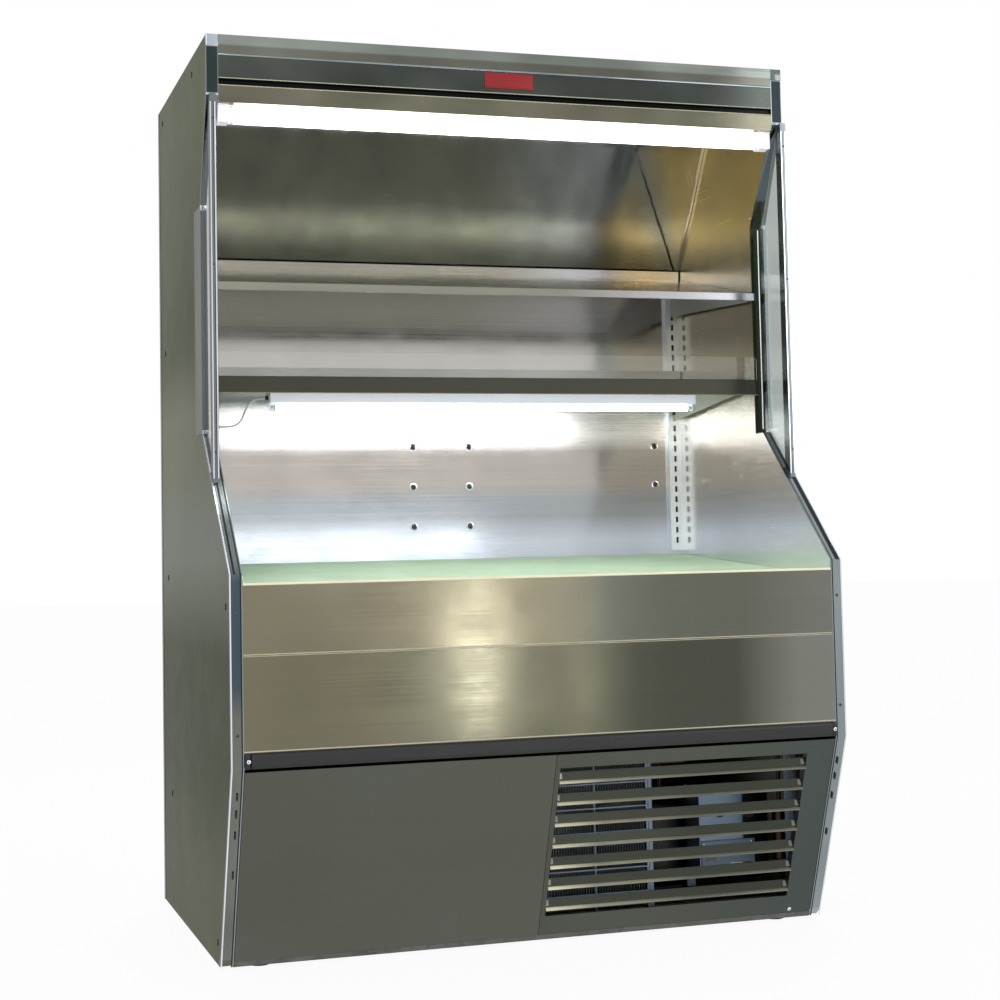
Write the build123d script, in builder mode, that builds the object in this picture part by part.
from build123d import *
from math import atan2, cos, degrees, hypot, pi, radians, sin, tan
import os

os.makedirs("parts", exist_ok=True)

# Open produce merchandiser: a self-contained refrigerated case with an open front.
# +Z is up, +X is the viewer's right, the open front faces -Y, the floor is z = 0.
# Every size is in millimetres.

# ---------------------------------------------------------------- case body
case_width = 1295.0
case_depth = 990.0
case_height = 1880.0
bumper_proud = 12.0
floor_gap = 8.0
end_thickness = 25.4
sheet = 1.2
lap_proud = 1.0
foam_wall = 50.0
foam_roof = 38.0
seat_gap = 0.3

# ---------------------------------------------------------------- side profile
toe_depth = 157.0
kick_height = 405.0
ledge_height = 757.0
end_ledge_height = 775.0
setback_depth = 316.0
setback_low = 1064.0
setback_drop = 340.0
canopy_setback = 222.0
canopy_drop = 128.0
toe_chamfer = 16.0
crown_chamfer = 6.0
edge_lap = 9.0
setback_lap = 92.0
setback_step = 38.0
setback_web = 12.7

# ---------------------------------------------------------------- glass wings
wing_front_depth = 199.0
wing_glass_thickness = 6.0
wing_glass_inset = 6.5
wing_channel_width = 12.7
wing_channel_leg = 25.0

# ---------------------------------------------------------------- air ducts and back wall
duct_depth = 123.8
ceiling_drop = 89.0
mirror_thickness = 4.0
mirror_lean = 34.0
mirror_length = 388.0
mirror_side_gap = 1.5

# ---------------------------------------------------------------- canopy
fascia_height = 141.0
fascia_band = 39.0
fascia_bead = 5.0
fascia_bead_depth = 2.5
fascia_groove_top = 92.0
fascia_groove = 12.0
fascia_groove_depth = 8.0
fascia_return = 24.0
tube_diameter = 38.0
canopy_holder_length = 23.1
lamp_channel_height = 22.0
lamp_channel_width = 52.0
lamp_channel_setback = 5.0
holder_thickness = 9.0
honeycomb_depth = 44.0
honeycomb_height = 26.0
honeycomb_cell = 15.0
honeycomb_pitch = 19.0
honeycomb_rows = 2

# ---------------------------------------------------------------- shelf standards
pilaster_width = 32.0
pilaster_depth = 14.0
pilaster_sheet = 1.6
pilaster_low = 800.0
pilaster_drop = 440.0
slot_height = 14.0
slot_width = 6.0
slot_pitch = 25.4

# ---------------------------------------------------------------- shelves
shelf_front_depth = 330.0
shelf_side_gap = 3.0
top_shelf_drop = 496.0
top_shelf_lip = 16.0
top_shelf_roll = 11.0
top_shelf_tilt = 12.0
top_shelf_mirror_gap = 6.2
top_shelf_upstand = 20.0
shelf_spacing = 198.0
lower_face_height = 36.0
lower_face_thickness = 6.0
lower_shelf_tilt = 5.0
lower_shelf_rear_gap = 10.0
lower_shelf_upstand = 25.0
stop_height = 52.0
stop_thickness = 2.5
stop_corner = 5.0
lower_face_round = 2.0
bracket_thickness = 3.0
bracket_root = 96.0
bracket_tip = 18.0
tab_height = 11.0
tab_depth = 10.0

# ---------------------------------------------------------------- lamp under the lower shelf
shelf_lamp_length = 980.0
shelf_lamp_width = 46.0
shelf_lamp_height = 17.0
shelf_lamp_setback = 62.0
shelf_tube_diameter = 15.0
lead_diameter = 5.0
lead_lift = 12.0
lead_socket_radius = 9.0
lead_socket_depth = 8.0

# ---------------------------------------------------------------- deck and well
well_floor = 558.0
well_wall = 38.0
well_front_wall = 58.0
well_side_wall = 18.0
deck_front_height = 742.0
deck_rise = 46.0
grille_depth = 58.0
grille_slot = 8.0
grille_pitch = 20.0
deck_gap = 1.5
pan_gap = 3.0
deck_flange = 16.0
drain_radius = 16.0
drain_wall = 2.5
drain_length = 70.0
drain_x = -200.0
drain_rear_gap = 120.0
liner_overlap = 24.0

# ---------------------------------------------------------------- front panels and bumper
front_lip = 18.0
front_lip_drop = 10.0
seam_height = 620.0
bumper_low = 406.0
bumper_height = 30.0
bumper_cap = 12.0
bumper_round = 7.2

# ---------------------------------------------------------------- kick panel and louvre
kick_split = 4.0
kick_gap = 1.0
kick_top_gap = 6.0
kick_length = 408.0
kick_flange = 14.0
louvre_border_left = 10.0
louvre_border_right = 60.0
louvre_top = 36.0
louvre_bottom = 372.0
louvre_blades = 7
blade_height = 28.0
blade_angle = 30.0
blade_sink = 5.0

# ---------------------------------------------------------------- base and feet
frame_rail = 40.0
frame_height = 44.0
base_plate = 2.0
foot_inset = 60.0
foot_radius = 20.0
foot_pad = 5.0
foot_nut = 19.0

# ---------------------------------------------------------------- refrigeration set
condenser_left = 20.0
condenser_width = 242.0
condenser_height = 326.0
condenser_thickness = 44.0
condenser_setback = 172.0
coil_fin = 0.8
coil_plate = 2.4
fin_margin = 4.8
condenser_fins = 40
shroud_depth = 70.0
shroud_ring = 100.0
fan_clearance = 6.0
fan_hub_radius = 20.0
fan_blades = 5
fan_depth = 22.0
fan_shaft_radius = 4.0
fan_tip_gap = 1.0
fan_root_lead = 8.8
fan_root_trail = 11.0
fan_root_sink = 2.0
shaft_clearance = 0.05
motor_radius = 38.0
motor_length = 62.0
motor_arm = 8.0
motor_foot = 37.0
compressor_inset = 272.1
compressor_setback = 370.0
compressor_radius = 82.0
compressor_oval = 0.86
compressor_height = 190.0
compressor_crown = 38.0
compressor_sole = 22.0
mount_height = 12.0
mount_plate = 3.0
mount_radius = 9.0
mount_spread_x = 65.0
mount_spread_y = 46.0
terminal_depth = 24.0
terminal_width = 60.0
terminal_low = 70.0
terminal_height = 70.0
electric_inset = 60.1
electric_width = 162.0
electric_height = 188.0
electric_depth = 78.0
electric_setback = 222.0
electric_lift = 46.0
control_height = 135.0
rocker_inset = 49.0
rocker_width = 14.0
rocker_height = 24.0
rocker_depth = 6.0
rocker_tip = 2.0
rocker_throw = 8.0
knob_inset = 49.0
knob_radius = 15.0
knob_depth = 14.0
knob_shaft_radius = 3.0
knob_shaft_length = 6.0
knob_pointer = 3.0
leg_width = 20.0
drier_radius = 16.0
drier_length = 120.0
drier_gap = 20.0
drier_lift = 70.0
line_radius = 4.75
line_bend = 20.0
coil_rows = 6
pan_width = 420.0
pan_depth = 250.0
pan_height = 40.0
inlet_radius = 12.0
inlet_length = 24.0
inlet_flange = 19.0
inlet_flange_thickness = 4.0
inlet_bore = 5.0
inlet_x = -430.0
inlet_height = 130.0
vent_slot = 9.0
vent_pitch = 24.0
vent_rows = 13
vent_width = 420.0
vent_low = 90.0

# ---------------------------------------------------------------- evaporator
evaporator_side_gap = 44.1
evaporator_depth = 200.0
evaporator_height = 128.0
evaporator_fins = 56
evaporator_rear = 150.0
evaporator_lift = 6.0
evaporator_rows = 2
evaporator_columns = 3
evap_fan_radius = 62.0
evap_fan_rear = 520.0
evap_motor_radius = 32.0
evap_motor_length = 50.0

# ---------------------------------------------------------------- screws
wall_screw_radius = 5.0
wall_screw_head = 2.5
wall_screw_pair = 70.0
wall_screw_edge_inset = 67.1
wall_screw_low = 870.0
wall_screw_pitch = 95.0
wall_screw_rows = 3
wall_screw_edge_rows = 2
side_screw_radius = 5.5
side_screw_head = 0.8
side_screw_crown_inset = 81.0
side_screw_crown_drop = 39.0
side_screw_upper_inset = 99.0
side_screw_upper_drop = 592.0
side_screw_middle_inset = 117.0
side_screw_middle_height = 762.0
side_screw_lower_inset = 153.0
side_screw_lower_height = 270.0
side_screw_canopy_inset = 206.0
side_screw_canopy_drop = 37.0
side_screw_ledge_inset = 49.0
side_screw_ledge_drop = 62.0
side_screw_toe_inset = 35.0
side_screw_toe_height = 52.0


# ================================================================ places worked out from the sizes
front = -case_depth / 2 + bumper_proud / 2
rear = front + case_depth
half = case_width / 2
skin_out = half - lap_proud
skin_in = skin_out - sheet
end_in = half - end_thickness
liner_out = end_in + sheet
setback = front + setback_depth
canopy = front + canopy_setback
wing_front = front + wing_front_depth
step_line = setback + setback_step
web_inner = half - setback_web
back_wall = rear - sheet - foam_wall - duct_depth
ceiling = case_height - ceiling_drop
canopy_low = case_height - canopy_drop
setback_high = case_height - setback_drop
top_shelf_height = case_height - top_shelf_drop
lower_shelf_height = top_shelf_height - shelf_spacing
pilaster_high = case_height - pilaster_drop
shelf_front = front + shelf_front_depth
shelf_half = end_in - shelf_side_gap
slope_length = hypot(toe_depth, kick_height)
LEFT, RIGHT = -1, 1
SIDE_NAMES = {LEFT: "left", RIGHT: "right"}


def toe_line(height):
    """The Y of the sloping kick face at a height."""
    return front + toe_depth * (1 - height / kick_height)


def diagonal_height(y):
    """The height of the end panel's slanting shoulder at a Y between the front and the set-back."""
    return end_ledge_height + (y - front) * (setback_low - end_ledge_height) / setback_depth


def shifted(path, distance):
    """A (y, z) path moved to the right of its direction, with mitred corners."""
    moved = []
    for index, (y, z) in enumerate(path):
        before = path[max(index - 1, 0)]
        after = path[min(index + 1, len(path) - 1)]
        normals = []
        for (y0, z0), (y1, z1) in ((before, (y, z)), ((y, z), after)):
            length = hypot(y1 - y0, z1 - z0)
            if length > 0:
                normals.append(((z1 - z0) / length, (y0 - y1) / length))
        first, last = normals[0], normals[-1]
        scale = distance / (1 + first[0] * last[0] + first[1] * last[1])
        moved.append((y + scale * (first[0] + last[0]), z + scale * (first[1] + last[1])))
    return moved


def strip(path, thickness):
    """The closed outline of a bent sheet that lies to the right of a path."""
    return path + shifted(path, thickness)[::-1]


def side_prism(outline, x_low, x_high, mode=Mode.ADD):
    """A straight solid along X with a (y, z) outline."""
    with BuildSketch(Plane.YZ.offset(min(x_low, x_high))) as profile:
        with BuildLine():
            Polyline(*outline, close=True)
        make_face()
    extrude(profile.sketch, amount=abs(x_high - x_low), mode=mode)


def block(x_span, y_span, z_span, mode=Mode.ADD):
    """A box between two limits on each axis."""
    spans = (x_span, y_span, z_span)
    centre = tuple((low + high) / 2 for low, high in spans)
    with Locations(centre):
        Box(*(abs(high - low) for low, high in spans), mode=mode)


def rod(start, end, radius, mode=Mode.ADD):
    """A round bar between two points."""
    axis = Vector(*end) - Vector(*start)
    with BuildSketch(Plane(origin=start, z_dir=axis)) as section:
        Circle(radius)
    extrude(section.sketch, amount=axis.length, mode=mode)


def save(piece, name):
    """Label a finished piece and write it."""
    piece.part.label = name
    export_step(piece.part, f"parts/{name}.step")


# ================================================================ end panels
outer_path = [
    (toe_line(floor_gap) + toe_chamfer, floor_gap),
    (toe_line(floor_gap + toe_chamfer), floor_gap + toe_chamfer),
    (front, kick_height),
    (front, end_ledge_height),
    (setback, setback_low),
    (setback, setback_high),
    (canopy, canopy_low),
    (canopy, case_height - crown_chamfer),
    (canopy + crown_chamfer, case_height),
]
inner_path = outer_path[:5] + [(step_line, setback_low), (step_line, setback_high)] + outer_path[6:]


def level_shift(lower, upper, distance):
    """How far a sloping line moves along Y, at one height, when it is set back by a distance."""
    return distance * hypot(upper[0] - lower[0], upper[1] - lower[1]) / (upper[1] - lower[1])


def behind(path, distance):
    """The panel outline behind a front path, set back by a distance and closed along the rear."""
    inside = shifted(path, distance)[1:-1]
    toe = path[0][0] + level_shift(path[0], path[1], distance)
    crown = path[-1][0] + level_shift(path[-2], path[-1], distance)
    return [(rear, floor_gap), (toe, floor_gap)] + inside + [(crown, case_height), (rear, case_height)]


def end_skin(side):
    with BuildPart() as skin:
        side_prism(behind(outer_path, sheet), side * skin_in, side * skin_out)
    save(skin, f"{SIDE_NAMES[side]}_end_skin")


def end_core(side):
    with BuildPart() as core:
        side_prism(behind(inner_path, sheet), side * liner_out, side * skin_in)
    save(core, f"{SIDE_NAMES[side]}_end_core")


def end_liner(side):
    with BuildPart() as liner:
        side_prism(behind(inner_path, sheet), side * end_in, side * liner_out)
    save(liner, f"{SIDE_NAMES[side]}_end_liner")


def edge_trim(side):
    """The polished strip that closes the front edge of an end panel, with its outer lap."""
    with BuildPart() as trim:
        side_prism(strip(inner_path, sheet), side * end_in, side * (web_inner + sheet))
        side_prism(strip(outer_path, sheet), side * web_inner, side * half)
        side_prism(outer_path[4:7] + [(step_line, setback_high), (step_line, setback_low)],
                   side * web_inner, side * (web_inner + sheet))
        side_prism(strip(outer_path[:5], edge_lap), side * skin_out, side * half)
        side_prism(strip(outer_path[6:], edge_lap), side * skin_out, side * half)
        side_prism([(setback, setback_low), (setback, setback_high),
                    (setback + setback_lap, setback_high), (setback + setback_lap, setback_low)],
                   side * skin_out, side * half)
        side_prism(strip(outer_path[5:7], edge_lap), side * skin_out, side * half)
    save(trim, f"{SIDE_NAMES[side]}_edge_trim")


wing_glass_out = half - wing_glass_inset
wing_glass_in = wing_glass_out - wing_glass_thickness
wing_channel_centre = wing_glass_out - wing_glass_thickness / 2
wing_top = canopy_low


def wing_glass(side):
    outline = [
        (wing_front + sheet, diagonal_height(wing_front + sheet)),
        (wing_front + sheet, wing_top),
        (canopy, canopy_low),
        (setback, setback_high),
        (setback, setback_low),
    ]
    with BuildPart() as glass:
        side_prism(outline, side * wing_glass_in, side * wing_glass_out)
    save(glass, f"{SIDE_NAMES[side]}_wing_glass")


def wing_trim(side):
    """The slim channel on the front edge of a glass wing, cut to the slanting shoulder."""
    legs_rear = wing_front + wing_channel_leg
    outer = wing_channel_width / 2
    inner = outer - sheet
    outline = [
        (wing_front, diagonal_height(wing_front)),
        (wing_front, wing_top),
        (canopy, wing_top),
        (legs_rear, wing_top - (legs_rear - canopy) * (canopy_low - setback_high) / (setback - canopy)),
        (legs_rear, diagonal_height(legs_rear)),
    ]
    pocket = [(y + sheet, z) for y, z in outline]
    pocket = [(pocket[0][0], pocket[0][1] - wing_channel_leg), (pocket[1][0], wing_top + sheet),
              (legs_rear + sheet, wing_top + sheet), (legs_rear + sheet, pocket[0][1] - wing_channel_leg)]
    with BuildPart() as channel:
        side_prism(outline, side * (wing_channel_centre - outer), side * (wing_channel_centre + outer))
        side_prism(pocket, side * (wing_channel_centre - inner), side * (wing_channel_centre + inner),
                   mode=Mode.SUBTRACT)
    save(channel, f"{SIDE_NAMES[side]}_wing_trim")


for side in (LEFT, RIGHT):
    end_skin(side)
    end_core(side)
    end_liner(side)
    edge_trim(side)
    wing_glass(side)
    wing_trim(side)

# ================================================================ back, roof and duct walls
vent_x = condenser_left + condenser_width / 2
with BuildPart() as rear_panel:
    block((-end_in, end_in), (rear - sheet, rear), (floor_gap, case_height))
    for row in range(vent_rows):
        height = vent_low + row * vent_pitch
        block((vent_x - vent_width / 2, vent_x + vent_width / 2), (rear - 2 * sheet, rear + sheet),
              (height, height + vent_slot), mode=Mode.SUBTRACT)
    rod((inlet_x, rear - 2 * sheet, inlet_height), (inlet_x, rear + sheet, inlet_height),
        inlet_radius + seat_gap, mode=Mode.SUBTRACT)
save(rear_panel, "rear_panel")

foam_low = well_floor - well_wall
foam_front = canopy + lamp_channel_width
roof_low = case_height - sheet - foam_roof
foam_rear = rear - sheet
foam_inner = foam_rear - foam_wall
foam_top = case_height - sheet
with BuildPart() as cabinet_foam:
    side_prism([(foam_rear, foam_low), (foam_rear, foam_top), (foam_front, foam_top),
                (foam_front, roof_low), (foam_inner, roof_low), (foam_inner, foam_low)], -end_in, end_in)
save(cabinet_foam, "cabinet_foam")

with BuildPart() as top_panel:
    block((-end_in, end_in), (canopy + fascia_return, rear - sheet), (case_height - sheet, case_height))
save(top_panel, "top_panel")

deck_rear = back_wall - seat_gap


def deck_top(y):
    """The height of the deck's upper face at a Y."""
    return deck_front_height + (y - deck_start) * deck_rise / (deck_rear - deck_start)


deck_start = front + sheet + well_front_wall
ledge_top = deck_top(deck_rear) - sheet - 2 * seat_gap
with BuildPart() as back_liner:
    block((-end_in, end_in), (back_wall, back_wall + sheet), (ledge_top - liner_overlap, ceiling))
save(back_liner, "back_liner")

mirror_run = (sin(radians(mirror_lean)), cos(radians(mirror_lean)))
mirror_foot_y = back_wall - seat_gap - mirror_thickness * mirror_run[1]
mirror_top_z = ceiling - seat_gap - mirror_thickness * mirror_run[0]
mirror_foot_z = mirror_top_z - mirror_length * mirror_run[1]
mirror_top_y = mirror_foot_y - mirror_length * mirror_run[0]
with BuildPart() as mirror_panel:
    side_prism(strip([(mirror_foot_y, mirror_foot_z), (mirror_top_y, mirror_top_z)], mirror_thickness),
               -(end_in - mirror_side_gap), end_in - mirror_side_gap)
save(mirror_panel, "mirror_panel")

honeycomb_rear = canopy + lamp_channel_setback + lamp_channel_width + honeycomb_depth
with BuildPart() as ceiling_liner:
    block((-end_in, end_in), (honeycomb_rear, back_wall), (ceiling, ceiling + sheet))
save(ceiling_liner, "ceiling_liner")

honeycomb_count = int((2 * end_in - honeycomb_pitch) // honeycomb_pitch)
with BuildPart() as air_honeycomb:
    block((-end_in, end_in), (honeycomb_rear - honeycomb_depth, honeycomb_rear),
          (ceiling + sheet - honeycomb_height, ceiling + sheet))
    with Locations((0, honeycomb_rear - honeycomb_depth / 2, ceiling + sheet - honeycomb_height / 2)):
        with GridLocations(honeycomb_pitch, honeycomb_pitch, honeycomb_count, honeycomb_rows):
            Box(honeycomb_cell, honeycomb_cell, honeycomb_height + sheet, mode=Mode.SUBTRACT)
save(air_honeycomb, "air_honeycomb")

# ================================================================ canopy front and lamp
fascia_low = case_height - fascia_height
bead_top = case_height - fascia_band
groove_top = case_height - fascia_groove_top
groove_low = groove_top - fascia_groove
fascia_path = [
    (canopy + fascia_return, fascia_low),
    (canopy, fascia_low),
    (canopy, groove_low),
    (canopy + fascia_groove_depth, groove_low),
    (canopy + fascia_groove_depth, groove_top),
    (canopy, groove_top),
    (canopy, bead_top - fascia_bead),
    (canopy + fascia_bead_depth, bead_top - fascia_bead),
    (canopy + fascia_bead_depth, bead_top),
    (canopy, bead_top),
    (canopy, case_height),
    (canopy + fascia_return, case_height),
]
with BuildPart() as canopy_fascia:
    side_prism(strip(fascia_path, sheet), -end_in, end_in)
save(canopy_fascia, "canopy_fascia")

channel_front = canopy + lamp_channel_setback
canopy_tube_end = end_in - canopy_holder_length
tube_y = channel_front + lamp_channel_width / 2
tube_z = fascia_low - tube_diameter / 2 - seat_gap
with BuildPart() as canopy_lamp_channel:
    side_prism(strip([(channel_front + lamp_channel_width, fascia_low + sheet + seat_gap),
                      (channel_front + sheet + fascia_return, fascia_low + sheet + seat_gap),
                      (channel_front + sheet + fascia_return, fascia_low + lamp_channel_height)], sheet),
               -end_in, end_in)
    side_prism(strip([(channel_front + sheet + fascia_return, fascia_low + lamp_channel_height),
                      (channel_front + lamp_channel_width, fascia_low + lamp_channel_height)], sheet),
               -end_in, end_in)
    block((-end_in, end_in), (channel_front + lamp_channel_width - sheet, channel_front + lamp_channel_width),
          (fascia_low + sheet + seat_gap, ceiling + sheet))
    for side in (LEFT, RIGHT):
        block((side * canopy_tube_end, side * end_in),
              (tube_y - tube_diameter / 2, tube_y + tube_diameter / 2),
              (tube_z - tube_diameter / 2, fascia_low - seat_gap))
        block((side * canopy_tube_end, side * end_in),
              (channel_front + sheet + fascia_return, tube_y + tube_diameter / 2),
              (fascia_low - seat_gap, fascia_low + 2 * sheet))
save(canopy_lamp_channel, "canopy_lamp_channel")

with BuildPart() as canopy_tube:
    rod((-canopy_tube_end, tube_y, tube_z), (canopy_tube_end, tube_y, tube_z), tube_diameter / 2)
save(canopy_tube, "canopy_tube")

# ================================================================ shelf standards
pilaster_face = back_wall - pilaster_depth
pilaster_centre = end_in - pilaster_width / 2
slot_count = int((pilaster_high - pilaster_low - slot_pitch) // slot_pitch)


def slot_level(index):
    """The middle height of a slot in a shelf standard."""
    return pilaster_low + slot_pitch * (index + 1)


def pilaster(side):
    x_centre = side * pilaster_centre
    hollow = pilaster_width / 2 - pilaster_sheet
    with BuildPart() as channel:
        block((x_centre - pilaster_width / 2, x_centre + pilaster_width / 2),
              (pilaster_face, back_wall), (pilaster_low, pilaster_high))
        block((x_centre - hollow, x_centre + hollow),
              (pilaster_face + pilaster_sheet, back_wall + sheet),
              (pilaster_low - sheet, pilaster_high + sheet), mode=Mode.SUBTRACT)
        for index in range(slot_count):
            slot_low = slot_level(index) - slot_height / 2
            block((x_centre - slot_width / 2, x_centre + slot_width / 2),
                  (pilaster_face - sheet, pilaster_face + pilaster_sheet + sheet),
                  (slot_low, slot_low + slot_height), mode=Mode.SUBTRACT)
    save(channel, f"{SIDE_NAMES[side]}_pilaster")


for side in (LEFT, RIGHT):
    pilaster(side)


def nearest_slot(height):
    """The index of the slot that lies nearest a height."""
    return min(range(slot_count), key=lambda index: abs(slot_level(index) - height))


def shelf_brackets(name, under_front, tilt):
    """The two cantilever arms that hook into the standards and follow a shelf's slope."""
    arm_front = shelf_front + bracket_tip
    rise = tan(radians(tilt))
    root_top = under_front + (pilaster_face - shelf_front) * rise
    upper = nearest_slot(root_top - slot_pitch)
    lower = nearest_slot(root_top - bracket_root + slot_pitch / 2)
    outline = [
        (arm_front, under_front + (arm_front - shelf_front) * rise),
        (pilaster_face - seat_gap, root_top - seat_gap * rise),
        (pilaster_face - seat_gap, root_top - bracket_root),
        (pilaster_face - bracket_root / 2, root_top - bracket_root),
        (arm_front, under_front + (arm_front - shelf_front) * rise - bracket_tip),
    ]
    with BuildPart() as arms:
        for side in (LEFT, RIGHT):
            x_low = side * pilaster_centre - bracket_thickness / 2
            side_prism(outline, x_low, x_low + bracket_thickness)
            for index in (upper, lower):
                tab_low = slot_level(index) - tab_height / 2
                block((x_low, x_low + bracket_thickness),
                      (pilaster_face - seat_gap, pilaster_face + tab_depth), (tab_low, tab_low + tab_height))
    save(arms, name)


# ================================================================ top shelf
top_rise = tan(radians(top_shelf_tilt))
top_pan_front = shelf_front + top_shelf_roll
top_upstand_front = top_shelf_height - top_pan_front * top_rise + top_shelf_upstand
mirror_slant = mirror_run[0] / mirror_run[1]
top_shelf_rear = ((mirror_foot_y - (top_upstand_front - mirror_foot_z) * mirror_slant - top_shelf_mirror_gap)
                  / (1 + top_rise * mirror_slant))
top_shelf_reach = top_shelf_rear - top_pan_front
top_lip_low = top_shelf_height - top_shelf_lip
top_pan_rise = top_shelf_reach * top_rise
with BuildPart() as top_shelf:
    side_prism(strip([(top_pan_front, top_lip_low), (shelf_front, top_lip_low),
                      (shelf_front, top_shelf_height), (top_pan_front, top_shelf_height)], sheet),
               -shelf_half, shelf_half)
    side_prism(strip([(top_pan_front - sheet, top_shelf_height), (top_pan_front, top_shelf_height),
                      (top_shelf_rear, top_shelf_height + top_pan_rise)], sheet),
               -shelf_half, shelf_half)
    block((-shelf_half, shelf_half), (top_shelf_rear - sheet, top_shelf_rear),
          (top_shelf_height + top_pan_rise - sheet, top_shelf_height + top_pan_rise + top_shelf_upstand))
save(top_shelf, "top_shelf")
top_pan_drop = sheet / cos(radians(top_shelf_tilt))
top_under_front = top_shelf_height - top_shelf_roll * top_rise - top_pan_drop
shelf_brackets("top_shelf_brackets", top_under_front, top_shelf_tilt)

# ================================================================ lower shelf and its lamp
low_rise = tan(radians(lower_shelf_tilt))
low_pan_front = shelf_front + lower_face_thickness
low_shelf_rear = pilaster_face - lower_shelf_rear_gap
lower_shelf_reach = low_shelf_rear - low_pan_front
low_face_low = lower_shelf_height - lower_face_height
low_pan_height = lower_shelf_height - 2 * sheet
low_rear_height = low_pan_height + lower_shelf_reach * low_rise
low_pan_drop = sheet / cos(radians(lower_shelf_tilt))
with BuildPart() as lower_shelf:
    side_prism(strip([(low_pan_front, low_face_low + sheet), (low_pan_front, low_pan_height),
                      (low_shelf_rear, low_rear_height)], sheet), -shelf_half, shelf_half)
    block((-shelf_half, shelf_half), (low_shelf_rear - sheet, low_shelf_rear),
          (low_rear_height - sheet, low_rear_height + lower_shelf_upstand))
save(lower_shelf, "lower_shelf")
low_under_front = low_pan_height - lower_face_thickness * low_rise - low_pan_drop
shelf_brackets("lower_shelf_brackets", low_under_front, lower_shelf_tilt)

with BuildPart() as shelf_front_face:
    block((-shelf_half, shelf_half), (shelf_front, low_pan_front), (low_face_low, lower_shelf_height))
    fillet(shelf_front_face.edges().filter_by(Axis.X).group_by(Axis.Y)[0], lower_face_round)
save(shelf_front_face, "shelf_front_face")

with BuildPart() as product_stop:
    block((-shelf_half, shelf_half), (low_pan_front - stop_thickness, low_pan_front),
          (lower_shelf_height, lower_shelf_height + stop_height))
    fillet(product_stop.edges().filter_by(Axis.Y).group_by(Axis.Z)[-1], stop_corner)
save(product_stop, "product_stop")

lamp_front = shelf_front + shelf_lamp_setback
lamp_rear = lamp_front + shelf_lamp_width
lamp_top = low_under_front + shelf_lamp_setback * low_rise
lamp_low = low_face_low - shelf_lamp_height + sheet
lamp_centre_y = lamp_front + shelf_lamp_width / 2
tube_drop = lamp_low - shelf_tube_diameter / 2 - seat_gap
with BuildPart() as shelf_lamp_housing:
    side_prism([(lamp_front, lamp_low), (lamp_rear, lamp_low),
                (lamp_rear, lamp_top + shelf_lamp_width * low_rise), (lamp_front, lamp_top)],
               -shelf_lamp_length / 2, shelf_lamp_length / 2)
    for side in (LEFT, RIGHT):
        block((side * (shelf_lamp_length / 2 - holder_thickness), side * shelf_lamp_length / 2),
              (lamp_centre_y - shelf_tube_diameter / 2, lamp_centre_y + shelf_tube_diameter / 2),
              (tube_drop - shelf_tube_diameter / 2, lamp_low))
save(shelf_lamp_housing, "shelf_lamp_housing")

with BuildPart() as shelf_tube:
    tube_half = shelf_lamp_length / 2 - holder_thickness
    rod((-tube_half, lamp_centre_y, tube_drop), (tube_half, lamp_centre_y, tube_drop),
        shelf_tube_diameter / 2)
save(shelf_tube, "shelf_tube")

# The lamp's lead hangs in a short loop between the housing and a socket on the left wall.
lead_z = lamp_low + lead_lift
lead_socket_front = -end_in + lead_socket_depth
lead_route = [
    (-shelf_lamp_length / 2, lamp_centre_y, lead_z),
    (-513.0, lamp_centre_y, lead_z),
    (-533.0, lamp_centre_y, lead_z - 11.0),
    (-543.0, lamp_centre_y, lead_z - 30.0),
    (-549.0, lamp_centre_y, lead_z - 48.0),
    (-564.0, lamp_centre_y, lead_z - 61.0),
    (-586.0, lamp_centre_y, lead_z - 62.5),
    (lead_socket_front, lamp_centre_y, lead_z - 62.5),
]
lead_radii = []
for before, corner, after in zip(lead_route, lead_route[1:], lead_route[2:]):
    arriving = Vector(*corner) - Vector(*before)
    leaving = Vector(*after) - Vector(*corner)
    turn = radians(arriving.get_angle(leaving))
    lead_radii.append(0.45 * min(arriving.length, leaving.length) / tan(turn / 2))
print("lead radii", [round(radius, 1) for radius in lead_radii])
with BuildPart() as shelf_lamp_lead:
    with BuildLine():
        lead_path = FilletPolyline(*lead_route, radius=lead_radii)
    with BuildSketch(Plane(origin=lead_route[0], z_dir=lead_path % 0)):
        Circle(lead_diameter / 2)
    sweep()
lead_volume = lead_path.length * pi * lead_diameter ** 2 / 4
print("lead length", round(lead_path.length, 1), "volume ratio",
      round(shelf_lamp_lead.part.volume / lead_volume, 4))
save(shelf_lamp_lead, "shelf_lamp_lead")

with BuildPart() as lead_socket:
    rod((-end_in, lead_route[-1][1], lead_route[-1][2]), lead_route[-1], lead_socket_radius)
save(lead_socket, "lead_socket")

# ================================================================ insulated well under the deck
well_front = front + sheet
well_inner = end_in - well_side_wall
well_rear = rear - sheet - foam_wall
wall_top = deck_top(deck_start) - sheet
drain_y = well_rear - drain_rear_gap
with BuildPart() as well_tub:
    side_prism([(well_front, foam_low), (well_rear, foam_low), (well_rear, well_floor),
                (deck_start, well_floor), (deck_start, wall_top), (well_front, deck_top(well_front) - sheet)],
               -end_in, end_in)
    for side in (LEFT, RIGHT):
        side_prism([(deck_start, well_floor), (deck_rear, well_floor),
                    (deck_rear, deck_top(deck_rear) - sheet), (deck_start, wall_top)],
                   side * well_inner, side * end_in)
    rod((drain_x, drain_y, foam_low - drain_length), (drain_x, drain_y, foam_low), drain_radius)
    rod((drain_x, drain_y, foam_low - drain_length - sheet), (drain_x, drain_y, well_floor + sheet),
        drain_radius - drain_wall, mode=Mode.SUBTRACT)
save(well_tub, "well_tub")


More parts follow.
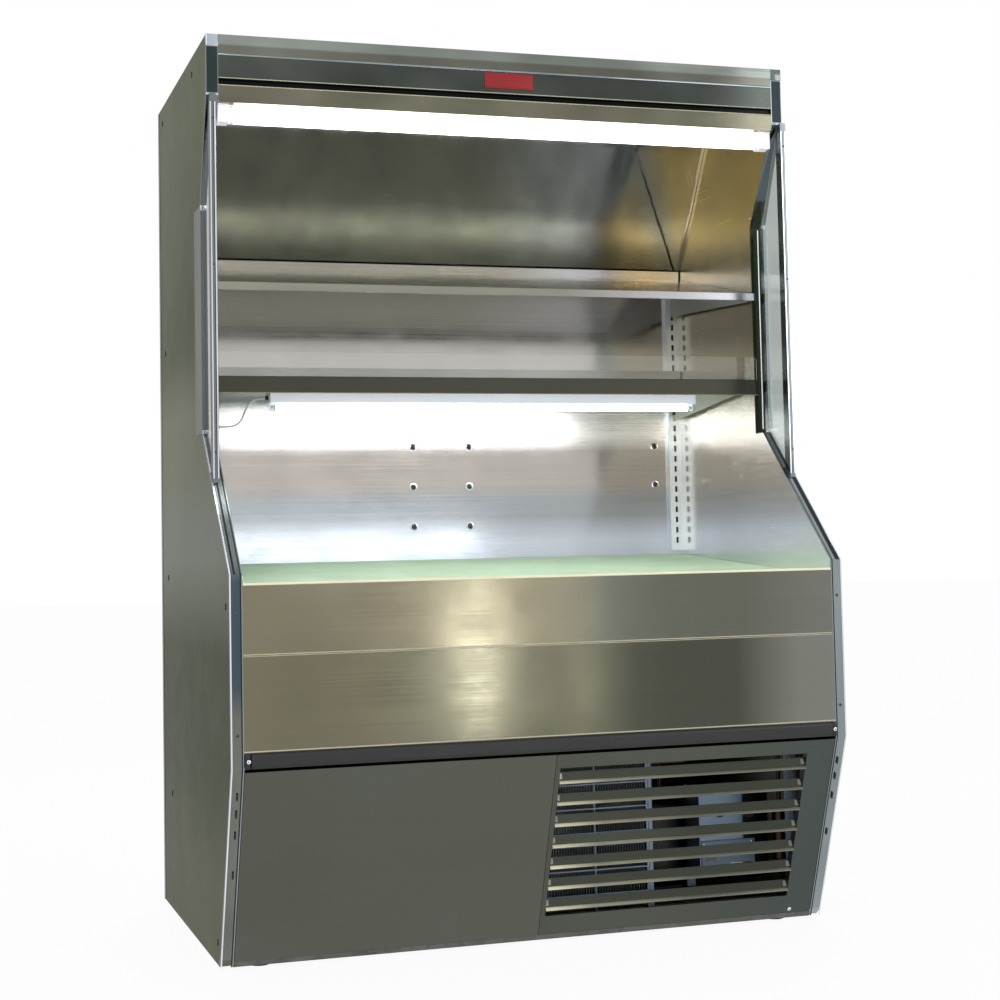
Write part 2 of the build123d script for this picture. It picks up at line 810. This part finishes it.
def deck_plate(y_low, y_high):
    """The outline of a sloping plate in line with the deck."""
    return [(y_low, deck_top(y_low) - sheet), (y_high, deck_top(y_high) - sheet),
            (y_high, deck_top(y_high)), (y_low, deck_top(y_low))]


def deck_rib(y):
    """The outline of a stiffening flange that hangs from the deck at a Y."""
    top = deck_top(y)
    return [(y, top - sheet / 2), (y + sheet, top - sheet / 2), (y + sheet, top - deck_flange),
            (y, top - deck_flange)]


grille_end = deck_start + grille_depth
flange_half = well_inner - 2 * seat_gap
with BuildPart() as return_air_grille:
    side_prism(deck_plate(deck_start - well_side_wall, grille_end), -(end_in - deck_gap), end_in - deck_gap)
    side_prism(deck_rib(grille_end - sheet), -flange_half, flange_half)
    slot_total = int((2 * well_inner - grille_pitch) // grille_pitch)
    with Locations((0, deck_start + grille_depth / 2, deck_top(deck_start))):
        with GridLocations(grille_pitch, 1, slot_total, 1):
            Box(grille_slot, grille_depth - 2 * deck_flange, deck_flange, mode=Mode.SUBTRACT)
save(return_air_grille, "return_air_grille")

pan_start = grille_end + pan_gap
with BuildPart() as deck_pan:
    side_prism(deck_plate(pan_start, deck_rear), -(end_in - deck_gap), end_in - deck_gap)
    for y_place in (pan_start, (pan_start + deck_rear) / 2, deck_rear - sheet):
        side_prism(deck_rib(y_place), -flange_half, flange_half)
save(deck_pan, "deck_pan")

# ================================================================ front panels and bumper
with BuildPart() as front_band:
    side_prism(strip([(front, seam_height), (front, ledge_height), (front + front_lip, ledge_height),
                      (front + front_lip, ledge_height - front_lip_drop)], sheet), -end_in, end_in)
save(front_band, "front_band")

with BuildPart() as front_panel:
    side_prism(strip([(front + kick_flange, bumper_low), (front, bumper_low),
                      (front, seam_height - seat_gap)], sheet), -end_in, end_in)
save(front_panel, "front_panel")

bumper_front = front - bumper_proud
bumper_top = bumper_low + bumper_height
bumper_end = end_in - bumper_cap
with BuildPart() as bumper_rail:
    block((-bumper_end, bumper_end), (bumper_front, front), (bumper_low, bumper_top))
    fillet(bumper_rail.edges().filter_by(Axis.X).group_by(Axis.Y)[0], bumper_round)
save(bumper_rail, "bumper_rail")

with BuildPart() as bumper_caps:
    for side in (LEFT, RIGHT):
        block((side * bumper_end, side * end_in), (bumper_front, front), (bumper_low, bumper_top))
    fillet(bumper_caps.edges().filter_by(Axis.X).group_by(Axis.Y)[0], bumper_round)
save(bumper_caps, "bumper_caps")

# ================================================================ kick panel and louvred grille
kick_plane = Plane(origin=(0, front, kick_height), x_dir=(1, 0, 0),
                   z_dir=(0, -kick_height / slope_length, -toe_depth / slope_length))


def slope_block(x_span, s_span, n_span, mode=Mode.ADD):
    """A box on the kick slope: s runs down the slope from its top edge, n stands out of it."""
    with BuildSketch(kick_plane.offset(n_span[0])) as face:
        with Locations(((x_span[0] + x_span[1]) / 2, -(s_span[0] + s_span[1]) / 2)):
            Rectangle(abs(x_span[1] - x_span[0]), abs(s_span[1] - s_span[0]))
    extrude(face.sketch, amount=n_span[1] - n_span[0], mode=mode)


kick_span = (kick_top_gap, kick_top_gap + kick_length)
with BuildPart() as kick_panel:
    slope_block((-end_in + kick_gap, kick_split), kick_span, (-sheet, 0))
    for x_edge in (-end_in + kick_gap, kick_split - sheet):
        slope_block((x_edge, x_edge + sheet), kick_span, (-kick_flange, -sheet / 2))
    for s_edge in (kick_span[0], kick_span[1] - sheet):
        slope_block((-end_in + kick_gap, kick_split), (s_edge, s_edge + sheet), (-kick_flange, -sheet / 2))
save(kick_panel, "kick_panel")

louvre_left = kick_split + kick_gap
louvre_right = end_in - kick_gap
blade_span = (louvre_left + louvre_border_left, louvre_right - louvre_border_right)
blade_pitch = (louvre_bottom - louvre_top) / louvre_blades
with BuildPart() as louvre_grille:
    slope_block((louvre_left, louvre_right), kick_span, (-sheet, 0))
    slope_block(blade_span, (louvre_top, louvre_bottom), (-2 * sheet, sheet), mode=Mode.SUBTRACT)
    for x_edge in (louvre_left, louvre_right - sheet):
        slope_block((x_edge, x_edge + sheet), kick_span, (-kick_flange, -sheet / 2))
    for s_edge in (kick_span[0], kick_span[1] - sheet):
        slope_block((louvre_left, louvre_right), (s_edge, s_edge + sheet), (-kick_flange, -sheet / 2))
    for index in range(louvre_blades):
        middle = louvre_top + blade_pitch * (index + 0.5)
        blade_plane = Plane(origin=kick_plane.from_local_coords((0, -middle, -blade_sink)), x_dir=(1, 0, 0),
                            z_dir=kick_plane.z_dir).rotated((-blade_angle, 0, 0))
        with BuildSketch(blade_plane) as blade:
            with Locations((sum(blade_span) / 2, 0)):
                Rectangle(blade_span[1] - blade_span[0] + 2 * sheet, blade_height)
        extrude(blade.sketch, amount=-sheet)
    for x_edge in (blade_span[0] - sheet, blade_span[1]):
        slope_block((x_edge, x_edge + sheet), (louvre_top - sheet, louvre_bottom + sheet),
                    (-kick_flange - blade_sink, -sheet / 2))
save(louvre_grille, "louvre_grille")

# ================================================================ base frame and feet
base_front = toe_line(floor_gap) + 2 * kick_flange
base_top = floor_gap + frame_height
strip_top = kick_height * (1 - kick_span[1] / slope_length) - seat_gap
rail_y = (base_front, rear - sheet)
with BuildPart() as base_frame:
    block((-end_in, end_in), rail_y, (floor_gap, base_top))
    block((-end_in + frame_rail, end_in - frame_rail), (rail_y[0] + frame_rail, rail_y[1] - frame_rail),
          (floor_gap - sheet, base_top - base_plate), mode=Mode.SUBTRACT)
    block((-end_in + base_plate, end_in - base_plate), (rail_y[0] + base_plate, rail_y[1] - base_plate),
          (floor_gap + base_plate, base_top - base_plate), mode=Mode.SUBTRACT)
    side_prism([(toe_line(floor_gap), floor_gap), (base_front + sheet, floor_gap),
                (base_front + sheet, strip_top), (toe_line(strip_top), strip_top)], -end_in, end_in)
save(base_frame, "base_frame")

foot_x = end_in - foot_inset
foot_rows = (rail_y[0] + frame_rail / 2, rail_y[1] - frame_rail / 2)
foot_places = [(x, y) for x in (-foot_x, foot_x) for y in foot_rows]
with BuildPart() as levelling_feet:
    for x, y in foot_places:
        rod((x, y, 0), (x, y, foot_pad), foot_radius)
        with BuildSketch(Plane.XY.offset(foot_pad)) as nut:
            with Locations((x, y)):
                RegularPolygon(foot_nut / 2, 6)
        extrude(nut.sketch, amount=floor_gap - foot_pad)
save(levelling_feet, "levelling_feet")

# ================================================================ condenser, fan and compressor
condenser_front = front + condenser_setback
condenser_rear = condenser_front + condenser_thickness
condenser_right = condenser_left + condenser_width
condenser_top = base_top + condenser_height
fin_pitch = (condenser_width - 2 * coil_plate) / condenser_fins
coil_y = (condenser_front + condenser_rear) / 2
coil_end = condenser_right + sheet


def coil_level(row):
    """The height of one of the condenser's tubes."""
    return base_top + condenser_height * (row + 0.5) / coil_rows


with BuildPart() as condenser_coil:
    for x_edge in (condenser_left, condenser_right - coil_plate):
        block((x_edge, x_edge + coil_plate), (condenser_front, condenser_rear), (base_top, condenser_top))
    for index in range(condenser_fins):
        x_fin = condenser_left + coil_plate + fin_pitch * (index + 0.5)
        block((x_fin, x_fin + coil_fin), (condenser_front + sheet, condenser_rear - sheet),
              (base_top + fin_margin, condenser_top - fin_margin))
    for row in range(coil_rows):
        level = coil_level(row)
        rod((condenser_left - sheet, coil_y, level), (coil_end, coil_y, level), line_radius)
save(condenser_coil, "condenser_coil")

fan_x = (condenser_left + condenser_right) / 2
fan_z = base_top + condenser_height / 2
fan_radius = shroud_ring - fan_clearance
shroud_rear = condenser_rear + shroud_depth
with BuildPart() as condenser_shroud:
    block((condenser_left, condenser_right), (condenser_rear, shroud_rear), (base_top, condenser_top))
    block((condenser_left + sheet, condenser_right - sheet),
          (condenser_rear - sheet, shroud_rear - 2 * sheet),
          (base_top + sheet, condenser_top - sheet), mode=Mode.SUBTRACT)
    rod((fan_x, condenser_rear, fan_z), (fan_x, shroud_rear + sheet, fan_z), shroud_ring, mode=Mode.SUBTRACT)
save(condenser_shroud, "condenser_shroud")


def fan_wheel(name, centre, radius, hub_length):
    """A bladed wheel on the Y axis, bored for its shaft; its front face is at the centre."""
    with BuildPart() as wheel:
        rod(centre, (centre[0], centre[1] + hub_length, centre[2]), fan_hub_radius)
        for index in range(fan_blades):
            turn = 360 * index / fan_blades
            blade_plane = Plane(origin=(centre[0], centre[1] + hub_length / 2, centre[2]),
                                x_dir=(cos(radians(turn)), 0, sin(radians(turn))), z_dir=(0, 1, 0))
            with BuildSketch(blade_plane.offset(-sheet)) as blade:
                with BuildLine():
                    inner = fan_hub_radius - fan_root_sink
                    tip = radius - fan_tip_gap
                    Polyline((inner, -fan_root_lead), (tip * cos(0.3), -tip * sin(0.3)), (tip, 0),
                             (tip * cos(0.36), tip * sin(0.36)), (inner, fan_root_trail), close=True)
                make_face()
            extrude(blade.sketch, amount=2 * sheet)
        rod((centre[0], centre[1] - sheet, centre[2]), (centre[0], centre[1] + hub_length + sheet, centre[2]),
            fan_shaft_radius + shaft_clearance, mode=Mode.SUBTRACT)
    save(wheel, name)


def fan_motor(name, centre, radius, length, foot_z):
    """A round motor with its shaft towards -Y and a bracket down to what carries it."""
    with BuildPart() as motor:
        rod(centre, (centre[0], centre[1] + length, centre[2]), radius)
        rod((centre[0], centre[1] - fan_depth - sheet, centre[2]), centre, fan_shaft_radius)
        arm_middle = centre[1] + length / 2
        block((centre[0] - radius / 2, centre[0] + radius / 2),
              (arm_middle - motor_arm / 2, arm_middle + motor_arm / 2), (foot_z, centre[2]))
        block((centre[0] - radius, centre[0] + radius),
              (arm_middle - motor_foot / 2, arm_middle + motor_foot / 2), (foot_z, foot_z + 2 * sheet))
    save(motor, name)


wheel_front = shroud_rear - fan_depth / 2
motor_front = wheel_front + fan_depth + 2 * sheet
fan_wheel("condenser_fan", (fan_x, wheel_front, fan_z), fan_radius, fan_depth)
fan_motor("condenser_motor", (fan_x, motor_front, fan_z), motor_radius, motor_length, base_top)

compressor_x = end_in - compressor_inset
compressor_y = front + compressor_setback
compressor_low = base_top + mount_height
compressor_top = compressor_low + compressor_height
oval_radius = compressor_radius * compressor_oval
with BuildPart() as compressor:
    with BuildSketch(Plane.XY.offset(compressor_low)) as shell_section:
        with Locations((compressor_x, compressor_y)):
            Ellipse(compressor_radius, oval_radius)
    extrude(shell_section.sketch, amount=compressor_height)
    fillet(compressor.edges().group_by(Axis.Z)[-1], compressor_crown)
    fillet(compressor.edges().group_by(Axis.Z)[0], compressor_sole)
    block((compressor_x - compressor_radius, compressor_x + compressor_radius),
          (compressor_y - mount_spread_y - mount_radius, compressor_y + mount_spread_y + mount_radius),
          (compressor_low - mount_plate, compressor_low + sheet))
    for x in (compressor_x - mount_spread_x, compressor_x + mount_spread_x):
        for y in (compressor_y - mount_spread_y, compressor_y + mount_spread_y):
            rod((x, y, base_top), (x, y, compressor_low), mount_radius)
    block((compressor_x, compressor_x + compressor_radius + terminal_depth),
          (compressor_y - terminal_width / 2, compressor_y + terminal_width / 2),
          (base_top + terminal_low, base_top + terminal_low + terminal_height))
save(compressor, "compressor")

# ================================================================ electrical box and its controls
electric_front = front + electric_setback
electric_low = base_top + electric_lift
electric_right = end_in - electric_inset
electric_left = electric_right - electric_width
rocker_place = (electric_left + rocker_inset, electric_low + control_height)
knob_place = (electric_right - knob_inset, electric_low + control_height)
with BuildPart() as electrical_box:
    block((electric_left, electric_right), (electric_front, electric_front + electric_depth),
          (electric_low, electric_low + electric_height))
    for x_leg in (electric_left, electric_right - leg_width):
        block((x_leg, x_leg + leg_width), (electric_front + electric_depth - 2 * sheet,
                                           electric_front + electric_depth), (base_top, electric_low))
    block((rocker_place[0] - rocker_width / 2 - seat_gap, rocker_place[0] + rocker_width / 2 + seat_gap),
          (electric_front - sheet, electric_front + 2 * rocker_depth),
          (rocker_place[1] - rocker_height / 2 - seat_gap, rocker_place[1] + rocker_height / 2 + seat_gap),
          mode=Mode.SUBTRACT)
    rod((knob_place[0], electric_front - knob_shaft_length, knob_place[1]),
        (knob_place[0], electric_front + sheet, knob_place[1]), knob_shaft_radius)
save(electrical_box, "electrical_box")

with BuildPart() as thermostat_knob:
    rod((knob_place[0], electric_front - seat_gap, knob_place[1]),
        (knob_place[0], electric_front - seat_gap - knob_depth, knob_place[1]), knob_radius)
    rod((knob_place[0], electric_front, knob_place[1]),
        (knob_place[0], electric_front - knob_shaft_length - seat_gap, knob_place[1]),
        knob_shaft_radius + shaft_clearance, mode=Mode.SUBTRACT)
    block((knob_place[0] - knob_pointer / 2, knob_place[0] + knob_pointer / 2),
          (electric_front - knob_depth - knob_pointer, electric_front - knob_depth),
          (knob_place[1], knob_place[1] + knob_radius - knob_pointer / 2))
save(thermostat_knob, "thermostat_knob")

rocker_pivot = electric_front + rocker_depth
rocker_tip_height = rocker_height / 2 - 2 * seat_gap - sheet / 4
rocker_face = [
    (-rocker_depth - rocker_tip, -rocker_tip_height),
    (-rocker_depth - rocker_tip / 2, 0.0),
    (-rocker_depth - rocker_tip, rocker_tip_height),
    (-rocker_tip / 2, rocker_tip_height - rocker_tip),
    (rocker_depth / 2, 0.0),
    (-rocker_tip / 2, rocker_tip - rocker_tip_height),
]
rocker_turn = (cos(radians(rocker_throw)), sin(radians(rocker_throw)))
with BuildPart() as light_rocker:
    side_prism([(rocker_pivot + y * rocker_turn[0] - z * rocker_turn[1],
                 rocker_place[1] + y * rocker_turn[1] + z * rocker_turn[0]) for y, z in rocker_face],
               rocker_place[0] - rocker_width / 2, rocker_place[0] + rocker_width / 2)
save(light_rocker, "light_rocker")

# ================================================================ refrigerant lines with the filter drier
drier_x = electric_right + drier_gap + drier_radius
drier_y = electric_front + drier_radius
drier_low = base_top + drier_lift
drier_top = drier_low + drier_length
suction_x = compressor_x - compressor_crown / 2
discharge_x = compressor_x + compressor_crown / 2
suction_rear = compressor_y + compressor_radius
suction_turn = (compressor_top + foam_low) / 2
line_routes = (
    [(suction_x, compressor_y, compressor_top), (suction_x, compressor_y, suction_turn),
     (suction_x, suction_rear, suction_turn), (suction_x, suction_rear, foam_low)],
    [(discharge_x, compressor_y, compressor_top), (discharge_x, compressor_y, coil_level(coil_rows - 1)),
     (discharge_x, coil_y, coil_level(coil_rows - 1)), (coil_end, coil_y, coil_level(coil_rows - 1))],
    [(coil_end, coil_y, coil_level(0)), (drier_x, coil_y, coil_level(0)),
     (drier_x, drier_y, coil_level(0)), (drier_x, drier_y, drier_low + sheet)],
)
with BuildPart() as refrigerant_lines:
    for route in line_routes:
        with BuildLine():
            line_path = FilletPolyline(*route, radius=line_bend)
        with BuildSketch(Plane(origin=route[0], z_dir=line_path % 0)) as line_section:
            Circle(line_radius)
        sweep(line_section.sketch, path=line_path)
    rod((drier_x, drier_y, drier_low), (drier_x, drier_y, drier_top), drier_radius)
    rod((drier_x, drier_y, drier_top), (drier_x, drier_y, foam_low), line_radius)
save(refrigerant_lines, "refrigerant_lines")

pan_x = (drain_x - pan_width / 2, drain_x + pan_width / 2)
pan_y = (drain_y - pan_depth / 2, drain_y + pan_depth / 2)
with BuildPart() as condensate_pan:
    block(pan_x, pan_y, (base_top, base_top + pan_height))
    block((pan_x[0] + sheet, pan_x[1] - sheet), (pan_y[0] + sheet, pan_y[1] - sheet),
          (base_top + sheet, base_top + pan_height + sheet), mode=Mode.SUBTRACT)
save(condensate_pan, "condensate_pan")

with BuildPart() as mains_inlet:
    rod((inlet_x, rear - inlet_length, inlet_height), (inlet_x, rear, inlet_height), inlet_radius)
    rod((inlet_x, rear - sheet - inlet_flange_thickness, inlet_height), (inlet_x, rear - sheet, inlet_height), inlet_flange)
    rod((inlet_x, rear - inlet_length - sheet, inlet_height), (inlet_x, rear + sheet, inlet_height),
        inlet_bore, mode=Mode.SUBTRACT)
save(mains_inlet, "mains_inlet")

# ================================================================ evaporator under the deck
evaporator_width = 2 * (well_inner - evaporator_side_gap)
evap_rear = back_wall - evaporator_rear
evap_front = evap_rear - evaporator_depth
evap_low = well_floor
evap_pitch = (evaporator_width - 2 * coil_plate) / evaporator_fins
with BuildPart() as evaporator_coil:
    for side in (LEFT, RIGHT):
        block((side * (evaporator_width / 2 - coil_plate), side * evaporator_width / 2),
              (evap_front, evap_rear), (evap_low, evap_low + evaporator_height))
    for index in range(evaporator_fins):
        x_fin = -evaporator_width / 2 + coil_plate + evap_pitch * (index + 0.5)
        block((x_fin, x_fin + coil_fin), (evap_front + sheet, evap_rear - sheet),
              (evap_low + evaporator_lift, evap_low + evaporator_height - sheet))
    for row in range(evaporator_rows):
        level = evap_low + evaporator_height * (row + 0.5) / evaporator_rows
        for column in range(evaporator_columns):
            y = evap_front + evaporator_depth * (column + 0.5) / evaporator_columns
            rod((-evaporator_width / 2, y, level), (evaporator_width / 2, y, level), line_radius)
save(evaporator_coil, "evaporator_coil")

evap_fan_front = back_wall - evap_fan_rear
evap_fan_z = well_floor + evap_fan_radius + 4 * fan_clearance
fan_wheel("evaporator_fan", (0, evap_fan_front, evap_fan_z), evap_fan_radius, fan_depth)
fan_motor("evaporator_motor", (0, evap_fan_front + fan_depth + 2 * sheet, evap_fan_z), evap_motor_radius,
          evap_motor_length, well_floor)

# ================================================================ screws
side_screws = [
    (rear - side_screw_crown_inset, case_height - side_screw_crown_drop),
    (rear - side_screw_upper_inset, case_height - side_screw_upper_drop),
    (rear - side_screw_middle_inset, side_screw_middle_height),
    (rear - side_screw_lower_inset, side_screw_lower_height),
    (canopy + side_screw_canopy_inset, case_height - side_screw_canopy_drop),
    (front + side_screw_ledge_inset, end_ledge_height - side_screw_ledge_drop),
    (toe_line(floor_gap) + side_screw_toe_inset, side_screw_toe_height),
]
wall_screw_levels = [wall_screw_low + wall_screw_pitch * row for row in range(wall_screw_rows)]
wall_screw_edge = end_in - wall_screw_edge_inset
wall_screws = [(wall_screw_pair, level) for level in wall_screw_levels]
wall_screws += [(wall_screw_edge, level) for level in wall_screw_levels[-wall_screw_edge_rows:]]
with BuildPart() as panel_screws:
    for side in (LEFT, RIGHT):
        for y, z in side_screws:
            rod((side * skin_out, y, z), (side * (skin_out + side_screw_head), y, z), side_screw_radius)
        for x, level in wall_screws:
            rod((side * x, back_wall, level), (side * x, back_wall - wall_screw_head, level),
                wall_screw_radius)
save(panel_screws, "panel_screws")
